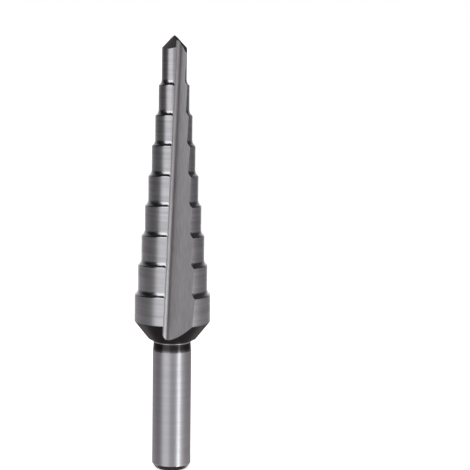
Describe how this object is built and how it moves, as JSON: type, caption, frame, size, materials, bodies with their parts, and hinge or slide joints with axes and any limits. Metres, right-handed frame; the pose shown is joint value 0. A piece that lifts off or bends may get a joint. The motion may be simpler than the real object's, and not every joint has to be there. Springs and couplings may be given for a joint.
{
  "type": "step drill",
  "caption": "Step drill bit with a plain round shank, a relief-ground stepped cone, two straight tapering flutes and a split point, for opening round holes in sheet metal.",
  "frame": {"origin": "centre of the shank's end face, on which the drill stands", "axes": "+Z along the drill's axis towards the point; -Y faces the open side of one flute, with its cutting edge on the -X side"},
  "size_m": [0.0118, 0.0118, 0.0672],
  "materials": {
    "ground_steel": "hardened steel, ground bright on the shank, steps, flutes and point, and left dark from hardening on the rear cone and neck"
  },
  "bodies": {
    "root": {"step_drill": "ground_steel"}
  },
  "joints": []
}
